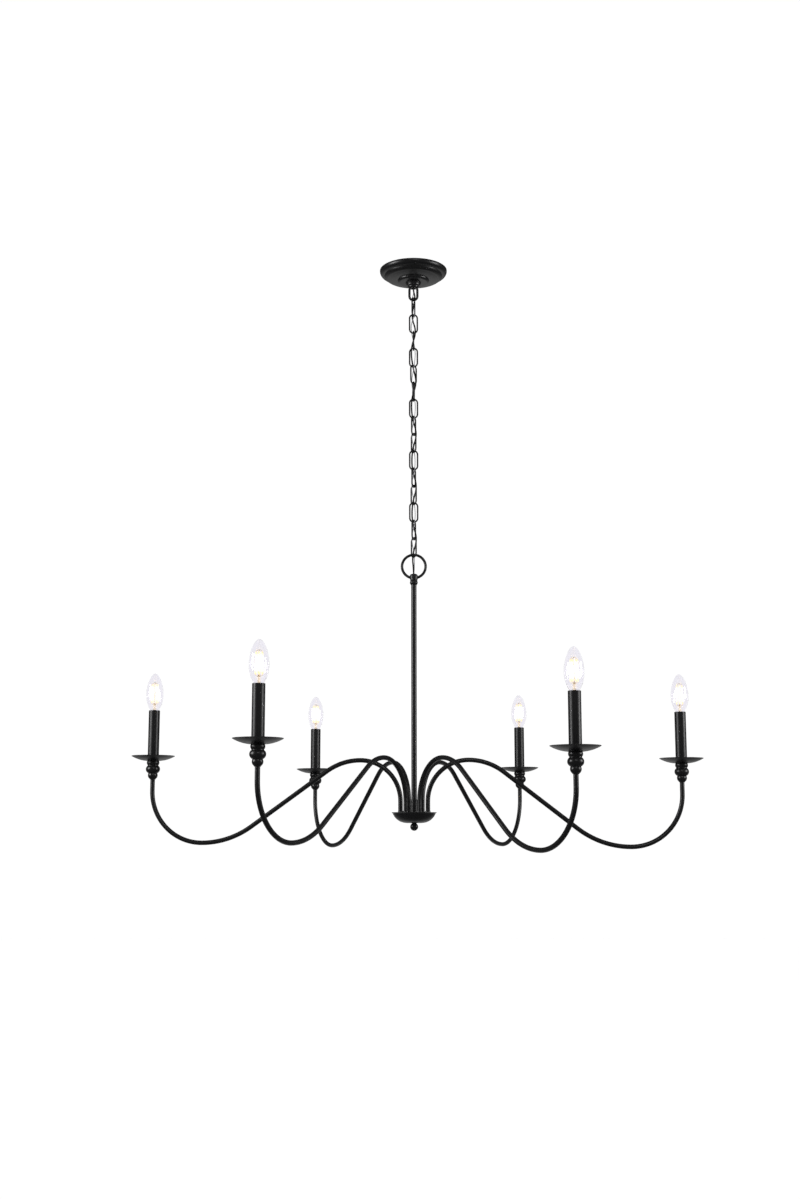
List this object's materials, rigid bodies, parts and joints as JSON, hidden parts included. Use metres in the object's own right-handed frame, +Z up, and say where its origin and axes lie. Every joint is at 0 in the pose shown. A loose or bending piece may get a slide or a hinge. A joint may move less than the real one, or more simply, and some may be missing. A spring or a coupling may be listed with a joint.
{
  "type": "multi arm chandelier",
  "caption": "Black candle chandelier: curved arms rise from a small bowl under a long stem, each with a drip pan, sleeve and clear bulb, hung by a ring and chain from a canopy.",
  "frame": {"origin": "centre of the ceiling plane that the canopy's rim and the crossbar lie against", "axes": "+Z up, out of the ceiling face; the stem and chain hang along -Z; the first arm's candle stands over +X and the ring's plane is XZ"},
  "size_m": [1.0634, 0.9545, 1.1117],
  "materials": {
    "black_paint": "satin black powder coat",
    "black_chain": "satin black",
    "zinc_steel": "zinc plated",
    "ground_screw": "green zinc",
    "cord": "black woven cover",
    "candle_sleeve": "satin black",
    "socket": "moulded",
    "bulb_glass": "clear",
    "bulb_cap": "nickel plated"
  },
  "bodies": {
    "ceiling_mount": {"crossbar": "zinc_steel", "ceiling_nipple": "zinc_steel", "nipple_nut": "zinc_steel", "ground_screw": "ground_screw", "canopy_loop": "black_paint"},
    "canopy_cover": {"canopy": "black_paint", "canopy_collar": "black_paint"},
    "top_link": {"chain_link_top": "black_chain"},
    "chain_run": {"chain_links": "black_chain", "supply_cord": "cord"},
    "bottom_link": {"chain_link_bottom": "black_chain"},
    "fixture": {"top_ring": "black_paint", "stem_tube": "black_paint", "hub_body": "black_paint", "arm_bushes": "black_paint", "hub_cup": "black_paint", "ball_finial": "black_paint", "stem_nut": "zinc_steel"},
    "arm_1": {"arm_tube_1": "black_paint", "candle_cup_1": "black_paint", "drip_pan_1": "black_paint", "candle_sleeve_1": "candle_sleeve", "socket_1": "socket"},
    "bulb_1": {"bulb_glass_1": "bulb_glass", "bulb_base_1": "bulb_cap"},
    "arm_2": {"arm_tube_2": "black_paint", "candle_cup_2": "black_paint", "drip_pan_2": "black_paint", "candle_sleeve_2": "candle_sleeve", "socket_2": "socket"},
    "bulb_2": {"bulb_glass_2": "bulb_glass", "bulb_base_2": "bulb_cap"},
    "arm_3": {"arm_tube_3": "black_paint", "candle_cup_3": "black_paint", "drip_pan_3": "black_paint", "candle_sleeve_3": "candle_sleeve", "socket_3": "socket"},
    "bulb_3": {"bulb_glass_3": "bulb_glass", "bulb_base_3": "bulb_cap"},
    "arm_4": {"arm_tube_4": "black_paint", "candle_cup_4": "black_paint", "drip_pan_4": "black_paint", "candle_sleeve_4": "candle_sleeve", "socket_4": "socket"},
    "bulb_4": {"bulb_glass_4": "bulb_glass", "bulb_base_4": "bulb_cap"},
    "arm_5": {"arm_tube_5": "black_paint", "candle_cup_5": "black_paint", "drip_pan_5": "black_paint", "candle_sleeve_5": "candle_sleeve", "socket_5": "socket"},
    "bulb_5": {"bulb_glass_5": "bulb_glass", "bulb_base_5": "bulb_cap"},
    "arm_6": {"arm_tube_6": "black_paint", "candle_cup_6": "black_paint", "drip_pan_6": "black_paint", "candle_sleeve_6": "candle_sleeve", "socket_6": "socket"},
    "bulb_6": {"bulb_glass_6": "bulb_glass", "bulb_base_6": "bulb_cap"}
  },
  "joints": [
    {"name": "canopy_slide", "type": "slide", "parent": "ceiling_mount", "child": "canopy_cover", "axis": [0, 0, -1], "range_m": [0, 0.022]},
    {"name": "chain_swing_front", "type": "hinge", "parent": "ceiling_mount", "child": "top_link", "pos_m": [0, 0, -0.0597], "axis": [1, 0, 0], "range_deg": [-12, 12]},
    {"name": "chain_swing_side", "type": "hinge", "parent": "top_link", "child": "chain_run", "pos_m": [0, 0, -0.09265], "axis": [0.342, 0.9397, 0], "range_deg": [-12, 12], "deforming": ["supply_cord"]},
    {"name": "fixture_swing_side", "type": "hinge", "parent": "chain_run", "child": "bottom_link", "pos_m": [0, 0, -0.5332], "axis": [0.4226, 0.9063, 0], "range_deg": [-12, 12]},
    {"name": "fixture_swing_front", "type": "hinge", "parent": "bottom_link", "child": "fixture", "pos_m": [0, 0, -0.5627], "axis": [1, 0, 0], "range_deg": [-12, 12]},
    {"name": "arm_swivel_1", "type": "hinge", "parent": "fixture", "child": "arm_1", "pos_m": [0.02505, -0.00352, -1.05], "axis": [0, 0, 1], "range_deg": [-20, 20]},
    {"name": "bulb_unscrew_1", "type": "slide", "parent": "arm_1", "child": "bulb_1", "axis": [0, 0, 1], "range_m": [0, 0.03]},
    {"name": "arm_swivel_2", "type": "hinge", "parent": "fixture", "child": "arm_2", "pos_m": [0.01558, 0.01994, -1.05], "axis": [0, 0, 1], "range_deg": [-20, 20]},
    {"name": "bulb_unscrew_2", "type": "slide", "parent": "arm_2", "child": "bulb_2", "axis": [0, 0, 1], "range_m": [0, 0.03]},
    {"name": "arm_swivel_3", "type": "hinge", "parent": "fixture", "child": "arm_3", "pos_m": [-0.00948, 0.02346, -1.05], "axis": [0, 0, 1], "range_deg": [-20, 20]},
    {"name": "bulb_unscrew_3", "type": "slide", "parent": "arm_3", "child": "bulb_3", "axis": [0, 0, 1], "range_m": [0, 0.03]},
    {"name": "arm_swivel_4", "type": "hinge", "parent": "fixture", "child": "arm_4", "pos_m": [-0.02505, 0.00352, -1.05], "axis": [0, 0, 1], "range_deg": [-20, 20]},
    {"name": "bulb_unscrew_4", "type": "slide", "parent": "arm_4", "child": "bulb_4", "axis": [0, 0, 1], "range_m": [0, 0.03]},
    {"name": "arm_swivel_5", "type": "hinge", "parent": "fixture", "child": "arm_5", "pos_m": [-0.01558, -0.01994, -1.05], "axis": [0, 0, 1], "range_deg": [-20, 20]},
    {"name": "bulb_unscrew_5", "type": "slide", "parent": "arm_5", "child": "bulb_5", "axis": [0, 0, 1], "range_m": [0, 0.03]},
    {"name": "arm_swivel_6", "type": "hinge", "parent": "fixture", "child": "arm_6", "pos_m": [0.00948, -0.02346, -1.05], "axis": [0, 0, 1], "range_deg": [-20, 20]},
    {"name": "bulb_unscrew_6", "type": "slide", "parent": "arm_6", "child": "bulb_6", "axis": [0, 0, 1], "range_m": [0, 0.03]}
  ]
}
